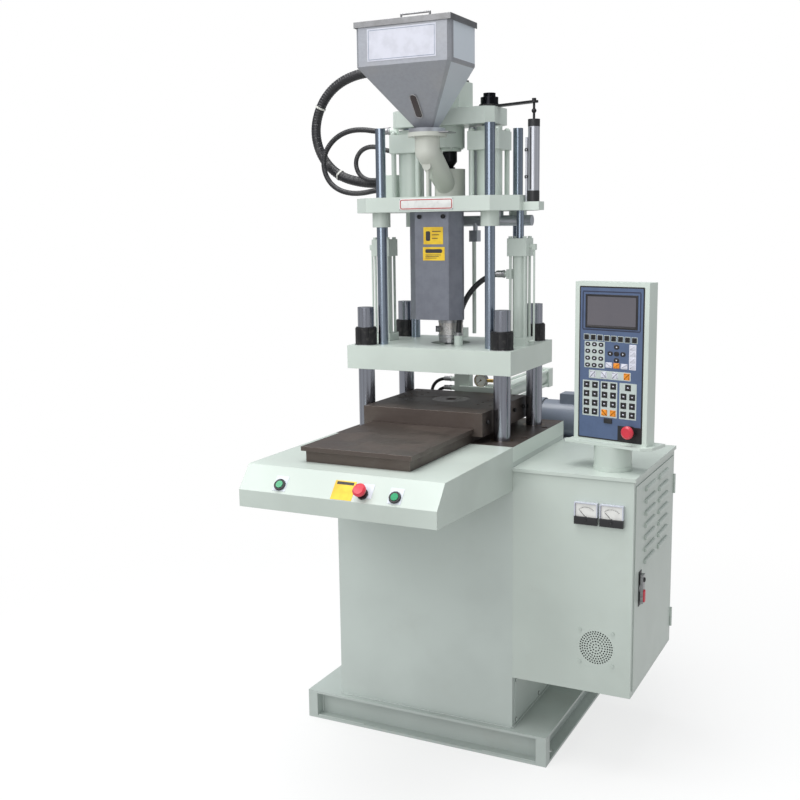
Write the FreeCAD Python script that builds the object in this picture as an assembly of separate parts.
"""Vertical injection moulding machine with a sliding lower table.

Millimetres. +Z is up, the operator stands at -Y, and the electrical cabinet is on +X.
The origin is on the floor, under the injection axis.
"""
import FreeCAD, Part
import math
import os

V = FreeCAD.Vector
UP, RIGHT, BACK = V(0, 0, 1), V(1, 0, 0), V(0, 1, 0)

# Clearances between pieces
RUNNING_FIT = 0.05        # radial, between a shaft and its bush
SLIDING_GAP = 0.3         # between faces that slide past each other
CABINET_TANK_GAP = 10     # between the cabinet's back and the oil tank

# Base frame and body
BASE_HALF_WIDTH = 400
BASE_FRONT = -242
BASE_BACK = 640
BASE_HEIGHT = 90
BASE_PLATE = 8
BASE_GROOVE = 35
BASE_POST = 32
FOUNDATION_HOLE_R = 9
BODY_HALF_WIDTH = 288
BODY_FRONT = -222
BODY_BACK = 233
BODY_WALL = 10
BED_TOP = 935
BED_THICKNESS = 44

# Console in front of the bed
CONSOLE_FRONT = -738
CONSOLE_BEND = -688
CONSOLE_BOTTOM = 829
CONSOLE_BOTTOM_AT_BODY = 809
CONSOLE_LOWER_BEND = 875
CONSOLE_SHEET = 2
BUTTON_UP_SLOPE = 24
BUTTON_X = 168
STOP_X = 77
BUTTON_R = 10
BEZEL_R = 15
STOP_HEAD_R = 18

# Rail plate, slide table and its cylinder
RAIL_HALF_WIDTH = 165
RAIL_FRONT = -622
RAIL_THICKNESS = 43
RAIL_LIP = 12
RAIL_LIP_OVERHANG = 10
TABLE_HALF_WIDTH = 192
TABLE_FRONT = -216
TABLE_BACK = 150
TABLE_TOP = 1024
TABLE_STROKE = 380
KEEPER_THICKNESS = 10
SLIDE_ROD_X = 60
SLIDE_ROD_Z = 1005
SLIDE_ROD_R = 11
SLIDE_BRACKET_FRONT = 195
SLIDE_BRACKET_THICKNESS = 16
SLIDE_HEAD = 66

# Clamp: tie bars, platen, lower crosshead
TIE_BAR_R = 25
TIE_BAR_X = 222
TIE_BAR_Y = 138
TIE_BAR_BELOW_CROSSHEAD = 40
TIE_BAR_TOP = 1314
TIE_NUT_R = 33
TIE_NUT_HEIGHT = 51
LOWER_NUT_HEIGHT = 36
BUSH_WALL = 9
PLATEN_HALF_WIDTH = 265
PLATEN_HALF_DEPTH = 181
PLATEN_BOTTOM = 1130
PLATEN_THICKNESS = 70
PLATEN_NOZZLE_R = 60
CROSSHEAD_THICKNESS = 70
CLAMP_STROKE = 190
CLAMP_CYLINDER_ENDS = 93  # length of the cylinder that its stroke doesn't use
CROSSHEAD_CLEARANCE = 20  # left under the cylinder at the top of the stroke
CLAMP_TUBE_R = 90
CLAMP_ROD_R = 45

# Guide rods and injection carriage
GUIDE_ROD_R = 15
GUIDE_ROD_X = 175
GUIDE_ROD_Y = 114
GUIDE_ROD_TOP = 1842
PLATE_BOTTOM = 1596
PLATE_THICKNESS = 43
PLATE_HALF_WIDTH = 262
PLATE_FRONT = -171
PLATE_BACK = 145
PLATE_FRONT_CHAMFER = 65
PLATE_BACK_CHAMFER = 85
GUIDE_BOSS_R = 27
GUIDE_BOSS_DEPTH = 43
SEAT_X = 225
SEAT_HEAD = 60
SEAT_HEAD_TOP = 1516
SEAT_HEAD_THICKNESS = 52
SEAT_FOOT = 24
SEAT_BARREL_R = 22
SEAT_ROD_R = 11

# Barrel, screw and feed
BARREL_R = 30
BARREL_BORE_R = 16.3
BARREL_BOTTOM = 1216
BARREL_HEAD_R = 37
SCREW_R = 16
SCREW_CORE_R = 12
BAND_WALL = 7
BAND_HEIGHT = 56
GUARD_FRONT = -135
GUARD_HALF_FRONT = 54
GUARD_CHAMFER = 30
GUARD_BOTTOM = 1280
GUARD_SHEET = 2
FEED_BODY_R = 46
FEED_BODY_TOP = 1722
OUTLET_Y = -157
FLANGE_R = 56
FLANGE_BOTTOM = 1807
FLANGE_THICKNESS = 12
GATE_THICKNESS = 3

# Hopper
HOPPER_HALF_WIDTH = 143
HOPPER_FRONT = -315
HOPPER_BACK = -137
HOPPER_TOP = 2108
HOPPER_BEND = 1991
HOPPER_BOTTOM = 1830
HOPPER_SHEET = 2
HOPPER_CORNER = 9
OUTLET_HALF_WIDTH = 27
OUTLET_FRONT = -181
LID_HEIGHT = 16
LID_OVERHANG = 3

# Injection cylinders and upper crosshead
INJECTION_X = 128
INJECTION_HEAD = 100
INJECTION_HEAD_TOP = 1827
INJECTION_HEAD_THICKNESS = 54
INJECTION_BARREL_R = 38
INJECTION_ROD_R = 22
BEAM_HALF_WIDTH = 164
BEAM_HALF_DEPTH = 71
BEAM_BOTTOM = 1846
BEAM_THICKNESS = 48
BEAM_CHAMFER = 22
BEARING_R = 45
BEARING_BOTTOM = 1784

# Linear transducer
TRANSDUCER_X = 287
TRANSDUCER_Y = -60
TRANSDUCER_R = 17
TRANSDUCER_BOTTOM = 1620
TRANSDUCER_TOP = 1849
ARM_THICKNESS = 6

# Electrical cabinet and control panel
CABINET_RIGHT = 636
CABINET_BACK = 258
CABINET_BOTTOM = 248
CABINET_TOP = 876
CABINET_SHEET = 2
CABINET_LID = 10
CABINET_LID_OVERHANG = 5
METER_Z = 768
METER_XS = (505, 577)
METER_WIDTH = 66
METER_HEIGHT = 62
GRILLE_X = 537
GRILLE_Z = 382
GRILLE_R = 49
FAN_SIZE = 106
SWIVEL_X = 548
SWIVEL_Y = -122
COLLAR_R = 54
TRAY_BOTTOM = 946
TRAY_THICKNESS = 8
PANEL_TURN = -14
PANEL_WIDTH = 228
PANEL_HEIGHT = 444
PANEL_DEPTH = 44

# Oil tank and pump
TANK_RIGHT = 392
TANK_BACK = 600
TANK_TOP = 800
MOTOR_Y = 400
MOTOR_LEFT = 150
MOTOR_LENGTH = 190
MOTOR_R = 65
MOTOR_CENTRE = 908

PLATE_TOP = PLATE_BOTTOM + PLATE_THICKNESS
PLATEN_TOP = PLATEN_BOTTOM + PLATEN_THICKNESS
BED_BOTTOM = BED_TOP - BED_THICKNESS
RAIL_TOP = BED_TOP + RAIL_THICKNESS
BEAM_TOP = BEAM_BOTTOM + BEAM_THICKNESS
BARREL_TOP = PLATE_TOP + 20
CLAMP_CYLINDER_BOTTOM = BED_BOTTOM - CLAMP_STROKE - CLAMP_CYLINDER_ENDS
CROSSHEAD_TOP = CLAMP_CYLINDER_BOTTOM - CLAMP_STROKE - CROSSHEAD_CLEARANCE
CROSSHEAD_BOTTOM = CROSSHEAD_TOP - CROSSHEAD_THICKNESS
TIE_BAR_BOTTOM = CROSSHEAD_BOTTOM - TIE_BAR_BELOW_CROSSHEAD
TANK_FRONT = CABINET_BACK + CABINET_TANK_GAP


def block(x0, x1, y0, y1, z0, z1):
    """A box between two values on each axis."""
    return Part.makeBox(x1 - x0, y1 - y0, z1 - z0, V(x0, y0, z0))


def centred(width, depth, x, y, z0, z1):
    """An upright box centred on x, y."""
    return block(x - width / 2, x + width / 2, y - depth / 2, y + depth / 2, z0, z1)


def rod(radius, start, length, axis=UP):
    return Part.makeCylinder(radius, length, V(*start), axis)


def ring(outer, inner, start, length, axis=UP):
    return rod(outer, start, length, axis).cut(rod(inner, start, length, axis))


def cone(r0, r1, start, length, axis=UP):
    return Part.makeCone(r0, r1, length, V(*start), axis)


def prism(points, along):
    """A flat outline pushed along a vector."""
    outline = Part.makePolygon([V(*p) for p in points] + [V(*points[0])])
    return Part.Face(outline).extrude(V(*along))


def joined(first, *others):
    return first.fuse(list(others)).removeSplitter()


def without(shape, *tools):
    return shape.cut(list(tools))


def four_corners(x, y):
    return [(-x, -y), (x, -y), (x, y), (-x, y)]


def save(name, *shapes):
    """Writes a node's solids to its own file."""
    shape = shapes[0] if len(shapes) == 1 else Part.makeCompound(list(shapes))
    for solid in shape.Solids:
        if not solid.isValid() or solid.Volume <= 0:
            raise ValueError(f"{name} has a bad solid")
    shape.exportStep(f"parts/{name}.step")


def socket_screw(x, y, z, radius, length):
    """A cap screw that points down, with a hexagon socket in its head."""
    head = rod(radius * 1.6, (x, y, z), radius * 1.6)
    corners = [
        (x + radius * math.cos(math.radians(a)), y + radius * math.sin(math.radians(a)), z + radius)
        for a in range(0, 360, 60)
    ]
    socket = prism(corners, (0, 0, radius))
    return joined(head, rod(radius, (x, y, z - length), length)).cut(socket)


# ---------------------------------------------------------------- base and body

def base_frame():
    """Channel-steel frame with a top plate, webs set back between the flanges, and corner posts."""
    w, b, t, h, g = BASE_HALF_WIDTH, BASE_BACK, BASE_PLATE, BASE_HEIGHT, BASE_GROOVE
    f = BASE_FRONT
    frame = block(-w, w, f, b, 0, h)
    inside = block(-w + g + t, w - g - t, f + g + t, b - g - t, 0, h - t)
    grooves = [
        block(-w + BASE_POST, w - BASE_POST, f, f + g, t, h - t),
        block(-w + BASE_POST, w - BASE_POST, b - g, b, t, h - t),
        block(-w, -w + g, f + BASE_POST, b - BASE_POST, t, h - t),
        block(w - g, w, f + BASE_POST, b - BASE_POST, t, h - t),
    ]
    frame = without(frame, inside, *grooves)
    ribs = [block(-w + g + t, w - g - t, y, y + t, 0, h - t) for y in (-t / 2, BODY_BACK)]
    frame = joined(frame, *ribs)
    bolts = [
        rod(FOUNDATION_HOLE_R, (x * (w - g / 2), y, 0), t)
        for x in (-1, 1)
        for y in foundation_rows()
    ]
    return without(frame, *bolts)


def foundation_rows():
    return (BASE_FRONT + 92, BASE_BACK - 92)


COVER_SCREW_R = 3
RIGHT_OPENING = (-190, 200, 115, 225)
LEFT_OPENING = (-120, 180, 300, 700)
COVER_LAP = 14
COVER_SHEET = 3


def machine_body():
    """Welded plate box that carries the bed, with two service openings."""
    w, t = BODY_HALF_WIDTH, BODY_WALL
    body = block(-w, w, BODY_FRONT, BODY_BACK, BASE_HEIGHT, BED_BOTTOM)
    inside = block(-w + t, w - t, BODY_FRONT + t, BODY_BACK - t, BASE_HEIGHT, BED_BOTTOM)
    body = without(body, inside)
    flange = block(-w + t, w - t, BODY_FRONT + t, BODY_BACK - t, BED_BOTTOM - 20, BED_BOTTOM)
    mouth = block(-w + 40, w - 40, BODY_FRONT + 30, BODY_BACK - 30, BED_BOTTOM - 20, BED_BOTTOM)
    bar_clearances = [
        rod(TIE_BAR_R + 9, (x, y, BED_BOTTOM - 20), 20) for x, y in four_corners(TIE_BAR_X, TIE_BAR_Y)
    ]
    flange = without(flange, mouth, *bar_clearances)
    y0, y1, z0, z1 = RIGHT_OPENING
    right = block(w - t, w, y0, y1, z0, z1)
    a0, a1, b0, b1 = LEFT_OPENING
    left = block(-w, -w + t, a0, a1, b0, b1)
    screw_holes = [rod(COVER_SCREW_R + 0.1, p, t, RIGHT) for p in right_cover_screws(w - t)]
    screw_holes += [rod(COVER_SCREW_R + 0.1, p, t, RIGHT) for p in left_cover_screws(-w)]
    bed_holes = [
        rod(BED_BOLT_R + 0.1, (x, y, BED_BOTTOM - 20), 20) for x, y in bed_bolt_places()
    ]
    return without(joined(body, flange), right, left, *screw_holes, *bed_holes)


def right_cover_screws(x):
    y0, y1, z0, z1 = RIGHT_OPENING
    lap = COVER_LAP / 2
    return [(x, y, z) for y in (y0 - lap, (y0 + y1) / 2, y1 + lap) for z in (z0 - lap, z1 + lap)]


def left_cover_screws(x):
    y0, y1, z0, z1 = LEFT_OPENING
    lap = COVER_LAP / 2
    return [(x, y, z) for y in (y0 - lap, y1 + lap) for z in (z0 - lap, (z0 + z1) / 2, z1 + lap)]


def body_covers():
    """Flat sheet covers over the two service openings, with their screws."""
    w, s, lap = BODY_HALF_WIDTH, COVER_SHEET, COVER_LAP
    y0, y1, z0, z1 = RIGHT_OPENING
    right = block(w, w + s, y0 - lap, y1 + lap, z0 - lap, z1 + lap)
    y0, y1, z0, z1 = LEFT_OPENING
    left = block(-w - s, -w, y0 - lap, y1 + lap, z0 - lap, z1 + lap)
    right = without(right, *[rod(COVER_SCREW_R + 0.1, p, s, RIGHT) for p in right_cover_screws(w)])
    left = without(left, *[rod(COVER_SCREW_R + 0.1, p, s, RIGHT) for p in left_cover_screws(-w - s)])
    screws = [side_screw(*place, RIGHT) for place in right_cover_screws(w + s)]
    screws += [side_screw(*place, RIGHT.negative()) for place in left_cover_screws(-w - s)]
    return [right, left, *screws]


BED_BOLT_R = 6
BED_BOLT_SINK = 14


def bed_bolt_places():
    return [(side * (BODY_HALF_WIDTH - 18), y) for side in (-1, 1) for y in (-79, 100)]


def side_screw(x, y, z, out):
    """A button-headed cover screw whose head points along out."""
    r = COVER_SCREW_R
    head = rod(r * 1.9, (x, y, z), r * 1.1, out)
    shank = rod(r, (x, y, z), COVER_SHEET + BODY_WALL - 1, out.negative())
    return joined(head, shank)


def bed_plate():
    """Thick steel bed with bored holes for the tie-bar bushes and counterbored bolts."""
    bed = block(-BODY_HALF_WIDTH, BODY_HALF_WIDTH, BODY_FRONT, BODY_BACK, BED_BOTTOM, BED_TOP)
    bores = [
        rod(TIE_BAR_R + RUNNING_FIT + BUSH_WALL, (x, y, BED_BOTTOM), BED_THICKNESS)
        for x, y in four_corners(TIE_BAR_X, TIE_BAR_Y)
    ]
    for x, y in bed_bolt_places():
        bores.append(rod(BED_BOLT_R + 0.1, (x, y, BED_BOTTOM), BED_THICKNESS))
        bores.append(rod(BED_BOLT_R * 1.6 + 0.5, (x, y, BED_TOP - BED_BOLT_SINK), BED_BOLT_SINK))
    bolts = [
        socket_screw(x, y, BED_TOP - BED_BOLT_SINK, BED_BOLT_R, BED_THICKNESS + 4)
        for x, y in bed_bolt_places()
    ]
    return [without(bed, *bores), *bolts]


def bar_bushes():
    """Bronze bushes in which the tie bars slide."""
    inner = TIE_BAR_R + RUNNING_FIT
    return [
        ring(inner + BUSH_WALL, inner, (x, y, BED_BOTTOM), BED_THICKNESS)
        for x, y in four_corners(TIE_BAR_X, TIE_BAR_Y)
    ]


# ---------------------------------------------------------------- console

def slope_frame():
    """Foot of the button row on the sloping panel, and the panel's outward normal."""
    run, rise = CONSOLE_BEND - CONSOLE_FRONT, BED_TOP - CONSOLE_LOWER_BEND
    size = math.hypot(run, rise)
    foot = V(0, CONSOLE_FRONT + BUTTON_UP_SLOPE * run / size,
             CONSOLE_LOWER_BEND + BUTTON_UP_SLOPE * rise / size)
    return foot, V(0, -rise / size, run / size)


def on_slope(x, depth):
    """A point of the button row, depth mm out of the panel."""
    foot, normal = slope_frame()
    point = foot + normal * depth
    return (x, point.y, point.z)


def console_outline(inset):
    """Side outline of the console, moved in by the sheet's thickness on every side but the back."""
    _, normal = slope_frame()
    front, top = CONSOLE_FRONT + inset, BED_TOP - inset
    bend_z = CONSOLE_LOWER_BEND - inset * (1 + normal.y) / normal.z
    bend_y = CONSOLE_FRONT + (inset + (top - CONSOLE_LOWER_BEND) * normal.z) / -normal.y
    return [
        (front, CONSOLE_BOTTOM + inset),
        (front, bend_z),
        (bend_y, top),
        (BODY_FRONT, top),
        (BODY_FRONT, CONSOLE_BOTTOM_AT_BODY + inset),
    ]


def console_cover():
    """Folded sheet cover with a sloping button panel, open at the back where it meets the body."""
    def solid(inset, half):
        points = [(-half, y, z) for y, z in console_outline(inset)]
        return prism(points, (2 * half, 0, 0))

    cover = solid(0, BODY_HALF_WIDTH)
    cover = without(cover, solid(CONSOLE_SHEET, BODY_HALF_WIDTH - CONSOLE_SHEET))
    _, normal = slope_frame()
    holes = [
        rod(BEZEL_R - 4, on_slope(x, -3 * CONSOLE_SHEET), 6 * CONSOLE_SHEET, normal)
        for x in (-BUTTON_X, STOP_X, BUTTON_X)
    ]
    return without(cover, *holes)


BUTTON_TRAVEL = 3
STOP_TRAVEL = 4
BEZEL_HEIGHT = 6
SWITCH_DEPTH = 40


def switch_body(x, collar_r, bore_r):
    """A panel switch: collar outside, threaded barrel through the sheet and contact block behind."""
    _, normal = slope_frame()
    collar = rod(collar_r, on_slope(x, 0), BEZEL_HEIGHT, normal)
    barrel = rod(BEZEL_R - 4.2, on_slope(x, -18), 18, normal)
    bore = rod(bore_r, on_slope(x, -10), 10 + BEZEL_HEIGHT, normal)
    contact = block(x - 14, x + 14, -14, 14, -SWITCH_DEPTH, -18)
    turn = FreeCAD.Rotation(UP, normal)
    foot = V(*on_slope(0, 0))
    contact.Placement = FreeCAD.Placement(foot, turn).multiply(contact.Placement)
    return joined(collar, barrel, contact).cut(bore)


def button_bezels():
    """Two push-button bodies and the emergency-stop body."""
    stem = STOP_STEM_R + SLIDING_GAP
    return [
        switch_body(-BUTTON_X, BEZEL_R, BUTTON_R + SLIDING_GAP),
        switch_body(BUTTON_X, BEZEL_R, BUTTON_R + SLIDING_GAP),
        switch_body(STOP_X, BEZEL_R, stem),
    ]


STOP_STEM_R = 8


def start_button(x):
    """A flush green cap that slides in its bezel."""
    _, normal = slope_frame()
    length = 10 + BEZEL_HEIGHT - BUTTON_TRAVEL + 1
    return rod(BUTTON_R, on_slope(x, -10 + BUTTON_TRAVEL + 0.5), length, normal)


def stop_button(start, axis):
    """A mushroom head on a stem; start is where the stem begins."""
    begin = V(*start)
    stem = rod(STOP_STEM_R, begin, 24, axis)
    low = begin + axis * 22
    head = cone(STOP_HEAD_R - 3, STOP_HEAD_R, low, 5, axis)
    cap = rod(STOP_HEAD_R, low + axis * 5, 5, axis)
    dome = cone(STOP_HEAD_R, STOP_HEAD_R - 5, low + axis * 10, 4, axis)
    return joined(stem, head, cap, dome)


def console_stop():
    _, normal = slope_frame()
    return stop_button(on_slope(STOP_X, -10 + STOP_TRAVEL + 0.5), normal)


# ---------------------------------------------------------------- slide table

def rail_plate():
    """Long rail plate: a lower block with a wider lip that the table's keepers run under."""
    lip_x, block_x = RAIL_HALF_WIDTH, RAIL_HALF_WIDTH - RAIL_LIP_OVERHANG
    back, lip_bottom = BODY_BACK - 60, RAIL_TOP - RAIL_LIP
    lower = block(-block_x, block_x, RAIL_FRONT + RAIL_LIP_OVERHANG, back, BED_TOP, lip_bottom)
    lip = block(-lip_x, lip_x, RAIL_FRONT, back, lip_bottom, RAIL_TOP)
    return joined(lower, lip)


TABLE_BORE_R = 16
TABLE_RING_R = 60
TABLE_RING_DEPTH = 3
MOULD_HOLE_R = 5.1
MOULD_HOLE_DEPTH = 25
MOULD_HOLE_XS = (-160, -120, 120, 160)
MOULD_HOLE_YS = (-75, -35, 5, 45, 85, 125)


def slide_table():
    """The moving table, a saddle over the rail plate, with a keeper under each side."""
    w, gap = TABLE_HALF_WIDTH, SLIDING_GAP
    skirt_bottom = RAIL_TOP - RAIL_LIP - gap
    table = block(-w, w, TABLE_FRONT, TABLE_BACK, skirt_bottom, TABLE_TOP)
    channel = block(-RAIL_HALF_WIDTH - gap, RAIL_HALF_WIDTH + gap, TABLE_FRONT, TABLE_BACK,
                    skirt_bottom, RAIL_TOP + gap)
    holes = [
        rod(MOULD_HOLE_R, (x, y, TABLE_TOP - MOULD_HOLE_DEPTH), MOULD_HOLE_DEPTH)
        for x in MOULD_HOLE_XS
        for y in MOULD_HOLE_YS
    ]
    centre = rod(TABLE_BORE_R, (0, 0, RAIL_TOP), TABLE_TOP - RAIL_TOP)
    recess = rod(TABLE_RING_R, (0, 0, TABLE_TOP - TABLE_RING_DEPTH), TABLE_RING_DEPTH)
    rod_hole = rod(SLIDE_ROD_R, (SLIDE_ROD_X, TABLE_BACK - SLIDE_ROD_THREAD, SLIDE_ROD_Z),
                   SLIDE_ROD_THREAD, BACK)
    table = without(table, channel, centre, recess, rod_hole, *holes)
    inner = RAIL_HALF_WIDTH - RAIL_LIP_OVERHANG + gap
    keepers = [
        block(min(s * inner, s * w), max(s * inner, s * w), TABLE_FRONT, TABLE_BACK,
              skirt_bottom - KEEPER_THICKNESS, skirt_bottom)
        for s in (-1, 1)
    ]
    return [table, *keepers]


SLIDE_BARREL_R = 26
SLIDE_HEAD_LENGTH = 40
SLIDE_PISTON_R = 22
SLIDE_PISTON_LENGTH = 24
SLIDE_ROD_THREAD = 20
END_CLEARANCE = 3
SLIDE_BARREL_FRONT = SLIDE_BRACKET_FRONT + SLIDE_BRACKET_THICKNESS + SLIDE_HEAD_LENGTH
SLIDE_PISTON_Y = SLIDE_BARREL_FRONT + END_CLEARANCE + TABLE_STROKE
SLIDE_BARREL_BACK = SLIDE_PISTON_Y + SLIDE_PISTON_LENGTH + 2 * END_CLEARANCE


VALVE_BLOCK = (-82, -28, SLIDE_BRACKET_FRONT + SLIDE_BRACKET_THICKNESS,
               SLIDE_BRACKET_FRONT + SLIDE_BRACKET_THICKNESS + 30, 1004, 1070)


def slide_rod():
    """Piston rod of the table cylinder, screwed into the table's back face."""
    start = TABLE_BACK - SLIDE_ROD_THREAD
    shaft = rod(SLIDE_ROD_R, (SLIDE_ROD_X, start, SLIDE_ROD_Z), SLIDE_PISTON_Y - start, BACK)
    piston = rod(SLIDE_PISTON_R - RUNNING_FIT, (SLIDE_ROD_X, SLIDE_PISTON_Y, SLIDE_ROD_Z),
                 SLIDE_PISTON_LENGTH, BACK)
    return joined(shaft, piston)


def slide_cylinder():
    """Tie-rod cylinder behind the bed, the bracket plate that it is flanged to and a valve block."""
    y0, x, z, half = SLIDE_BRACKET_FRONT, SLIDE_ROD_X, SLIDE_ROD_Z, SLIDE_HEAD / 2
    y1 = y0 + SLIDE_BRACKET_THICKNESS
    bracket = block(x - 120, x + 65, y0, y1, BED_TOP, z + 28)
    bracket = bracket.cut(rod(SLIDE_ROD_R + SLIDING_GAP, (x, y0, z), y1 - y0, BACK))
    front_end, back_start = SLIDE_BARREL_FRONT, SLIDE_BARREL_BACK
    front = block(x - half, x + half, y1, front_end, z - half, z + half)
    back = block(x - half, x + half, back_start, back_start + SLIDE_HEAD_LENGTH, z - half, z + half)
    tube = rod(SLIDE_BARREL_R, (x, front_end, z), back_start - front_end, BACK)
    cylinder = joined(front, tube, back)
    bore = rod(SLIDE_PISTON_R, (x, front_end, z), back_start - front_end, BACK)
    gland = rod(SLIDE_ROD_R + RUNNING_FIT, (x, y1, z), SLIDE_HEAD_LENGTH, BACK)
    cylinder = without(cylinder, bore, gland)
    offset = half - 8
    ties = [
        rod(5, (x + a * offset, front_end, z + b * offset), back_start - front_end, BACK)
        for a in (-1, 1)
        for b in (-1, 1)
    ]
    valve = block(*VALVE_BLOCK)
    nipples = [
        rod(8, route[-1], VALVE_BLOCK[0] - route[-1][0], RIGHT) for route in SUPPLY_HOSES
    ]
    return [bracket, joined(cylinder, *ties), joined(valve, *nipples)]


# ---------------------------------------------------------------- clamp

CLAMP_WALL = 20
CLAMP_GLAND = 30
CLAMP_PISTON = 30


def clamp_cylinder():
    """Short-stroke clamp cylinder flanged to the underside of the bed."""
    bottom = CLAMP_CYLINDER_BOTTOM
    tube = rod(CLAMP_TUBE_R, (0, 0, bottom), BED_BOTTOM - bottom)
    flange = rod(CLAMP_TUBE_R + 30, (0, 0, BED_BOTTOM - 24), 24)
    chamber_length = BED_BOTTOM - CLAMP_WALL - bottom - CLAMP_GLAND
    chamber = rod(CLAMP_TUBE_R - CLAMP_WALL, (0, 0, bottom + CLAMP_GLAND), chamber_length)
    gland = rod(CLAMP_ROD_R + RUNNING_FIT, (0, 0, bottom), CLAMP_GLAND)
    return without(joined(tube, flange), chamber, gland)


def lower_crosshead():
    """Plate that pulls the four tie bars down, with the clamp piston rod on it."""
    half_x, half_y = TIE_BAR_X + 40, TIE_BAR_Y + 36
    plate = block(-half_x, half_x, -half_y, half_y, CROSSHEAD_BOTTOM, CROSSHEAD_TOP)
    bores = [
        rod(TIE_BAR_R, (x, y, CROSSHEAD_BOTTOM), CROSSHEAD_THICKNESS)
        for x, y in four_corners(TIE_BAR_X, TIE_BAR_Y)
    ]
    piston_z = CLAMP_CYLINDER_BOTTOM + CLAMP_GLAND + END_CLEARANCE
    shaft = rod(CLAMP_ROD_R, (0, 0, CROSSHEAD_TOP), piston_z - CROSSHEAD_TOP)
    piston = rod(CLAMP_TUBE_R - CLAMP_WALL - RUNNING_FIT, (0, 0, piston_z), CLAMP_PISTON)
    return without(joined(plate, shaft, piston), *bores)


def tie_bars():
    return [
        rod(TIE_BAR_R, (x, y, TIE_BAR_BOTTOM), TIE_BAR_TOP - TIE_BAR_BOTTOM)
        for x, y in four_corners(TIE_BAR_X, TIE_BAR_Y)
    ]


def round_nut(x, y, z, height):
    """A black round nut with shallow flutes for a hook spanner."""
    nut = ring(TIE_NUT_R, TIE_BAR_R, (x, y, z), height)
    flutes = [
        rod(2.5, (x + (TIE_NUT_R + 1) * math.cos(math.radians(a)),
                  y + (TIE_NUT_R + 1) * math.sin(math.radians(a)), z), height)
        for a in range(0, 360, 45)
    ]
    return without(nut, *flutes)


def tie_bar_nuts():
    """Round nuts above the platen and under the lower crosshead."""
    nuts = []
    for x, y in four_corners(TIE_BAR_X, TIE_BAR_Y):
        nuts.append(round_nut(x, y, PLATEN_TOP, TIE_NUT_HEIGHT))
        nuts.append(round_nut(x, y, CROSSHEAD_BOTTOM - LOWER_NUT_HEIGHT, LOWER_NUT_HEIGHT))
    return nuts


PLATEN_HOLE_XS = (-120, 120)
PLATEN_HOLE_YS = (-90, 90)


def platen():
    """Upper platen with a stepped hole for the nozzle and tapped holes for the upper mould half."""
    t = PLATEN_THICKNESS
    plate = block(-PLATEN_HALF_WIDTH, PLATEN_HALF_WIDTH, -PLATEN_HALF_DEPTH, PLATEN_HALF_DEPTH,
                  PLATEN_BOTTOM, PLATEN_TOP)
    bores = [rod(TIE_BAR_R, (x, y, PLATEN_BOTTOM), t) for x, y in four_corners(TIE_BAR_X, TIE_BAR_Y)]
    bores += [rod(GUIDE_ROD_R, (x, y, PLATEN_BOTTOM + 20), t - 20)
              for x, y in four_corners(GUIDE_ROD_X, GUIDE_ROD_Y)]
    bores.append(rod(PLATEN_NOZZLE_R, (0, 0, PLATEN_BOTTOM + 20), t - 20))
    bores.append(rod(TABLE_RING_R / 2 + 5, (0, 0, PLATEN_BOTTOM), 20))
    bores += [rod(MOULD_HOLE_R, (x, y, PLATEN_BOTTOM), MOULD_HOLE_DEPTH)
              for x in PLATEN_HOLE_XS for y in PLATEN_HOLE_YS]
    return without(plate, *bores)


def guide_rods():
    return [
        rod(GUIDE_ROD_R, (x, y, PLATEN_BOTTOM + 20), GUIDE_ROD_TOP - PLATEN_BOTTOM - 20)
        for x, y in four_corners(GUIDE_ROD_X, GUIDE_ROD_Y)
    ]


SEAT_BORE_R = 18
SEAT_PIPE_R = 3
SEAT_PORT_Z = SEAT_HEAD_TOP - 24
SEAT_HOSE_PORT_Z = 1411


def seat_cylinder(side):
    """A carriage cylinder: foot, tube, head and four tie rods, with a steel pipe to its lower port."""
    x, half, foot_top = side * SEAT_X, SEAT_HEAD / 2, PLATEN_TOP + SEAT_FOOT
    head_bottom = SEAT_HEAD_TOP - SEAT_HEAD_THICKNESS
    foot = centred(SEAT_HEAD, SEAT_HEAD, x, 0, PLATEN_TOP, foot_top)
    tube = rod(SEAT_BARREL_R, (x, 0, foot_top), head_bottom - foot_top)
    head = centred(SEAT_HEAD, SEAT_HEAD, x, 0, head_bottom, SEAT_HEAD_TOP)
    bore = rod(SEAT_BORE_R, (x, 0, foot_top), head_bottom - foot_top)
    gland = rod(SEAT_ROD_R + RUNNING_FIT, (x, 0, head_bottom), SEAT_HEAD_THICKNESS)
    offset = half - 8
    ties = [
        rod(4, (x + a * offset, b * offset, foot_top), head_bottom - foot_top)
        for a in (-1, 1)
        for b in (-1, 1)
    ]
    nuts = [
        rod(6, (x + a * offset, b * offset, SEAT_HEAD_TOP), 6) for a in (-1, 1) for b in (-1, 1)
    ]
    body = without(joined(foot, tube, head), bore, gland)
    out = x + side * half
    pipe_x = out + side * 14
    port = rod(7, (out, 0, SEAT_PORT_Z), 8, V(side, 0, 0))
    elbow = block(min(out + side * 8, out + side * 20), max(out + side * 8, out + side * 20), -6, 6,
                  SEAT_PORT_Z - 10, SEAT_PORT_Z + 7)
    pipe = rod(SEAT_PIPE_R, (pipe_x, 0, PLATEN_TOP + 12), SEAT_PORT_Z - 10 - PLATEN_TOP - 12)
    low = rod(5, (min(out, pipe_x), 0, PLATEN_TOP + 12), abs(pipe_x - out), RIGHT)
    return joined(body, port, elbow, pipe, low, *ties, *nuts)


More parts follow.
